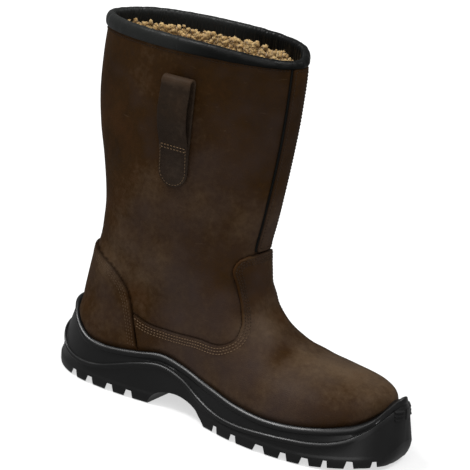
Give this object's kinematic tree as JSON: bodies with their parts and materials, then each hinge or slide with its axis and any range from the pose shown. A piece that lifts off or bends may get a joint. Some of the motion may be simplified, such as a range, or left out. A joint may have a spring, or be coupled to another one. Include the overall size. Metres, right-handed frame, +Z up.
{
  "type": "safety boot",
  "caption": "Pull-on safety boot: hollow brown leather upper with vamp and counter overlays, bound collar and pull loops, on a lugged moulded sole with an arch and a toe bumper.",
  "frame": {"origin": "middle of the boot's box in plan, on the floor plane under the sole", "axes": "+X towards the toe, +Y towards the inner (medial) side of a right boot, +Z up"},
  "size_m": [0.3152, 0.1081, 0.2937],
  "materials": {
    "brown_leather": "dark brown oiled leather with a soft low sheen and lighter rubbed patches",
    "black_edging": "soft black grained edging",
    "black_sole": "moulded black polyurethane, satin",
    "fleece": "golden tan curly fleece"
  },
  "bodies": {
    "root": {"outsole": "black_sole", "midsole": "black_sole", "insole": "fleece", "upper": "brown_leather", "vamp": "brown_leather", "heel_counter": "brown_leather", "front_strip": "brown_leather", "back_piping": "black_edging", "collar_binding": "black_edging", "pull_loop_outer": "brown_leather", "pull_loop_inner": "brown_leather"}
  },
  "joints": []
}
